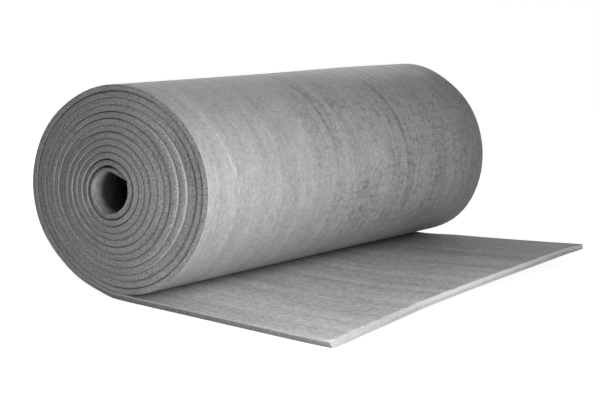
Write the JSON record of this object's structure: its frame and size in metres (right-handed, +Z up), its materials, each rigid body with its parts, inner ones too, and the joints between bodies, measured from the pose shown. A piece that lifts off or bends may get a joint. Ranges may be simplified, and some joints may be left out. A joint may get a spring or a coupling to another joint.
{
  "type": "foam insulation roll",
  "caption": "Grey closed-cell foam insulation sheet wound in a roll round an open bore, with its loose end unrolled on the floor and its far corner lifted.",
  "frame": {"origin": "on the floor, in the middle of the whole footprint of roll and loose end", "axes": "+X from the roll towards the cut edge of the loose end, +Y along the roll's axis from the end shown towards the other, +Z up"},
  "size_m": [0.5794, 1, 0.349],
  "materials": {
    "foam": "matte"
  },
  "bodies": {
    "root": {"foam_roll": "foam"}
  },
  "joints": []
}
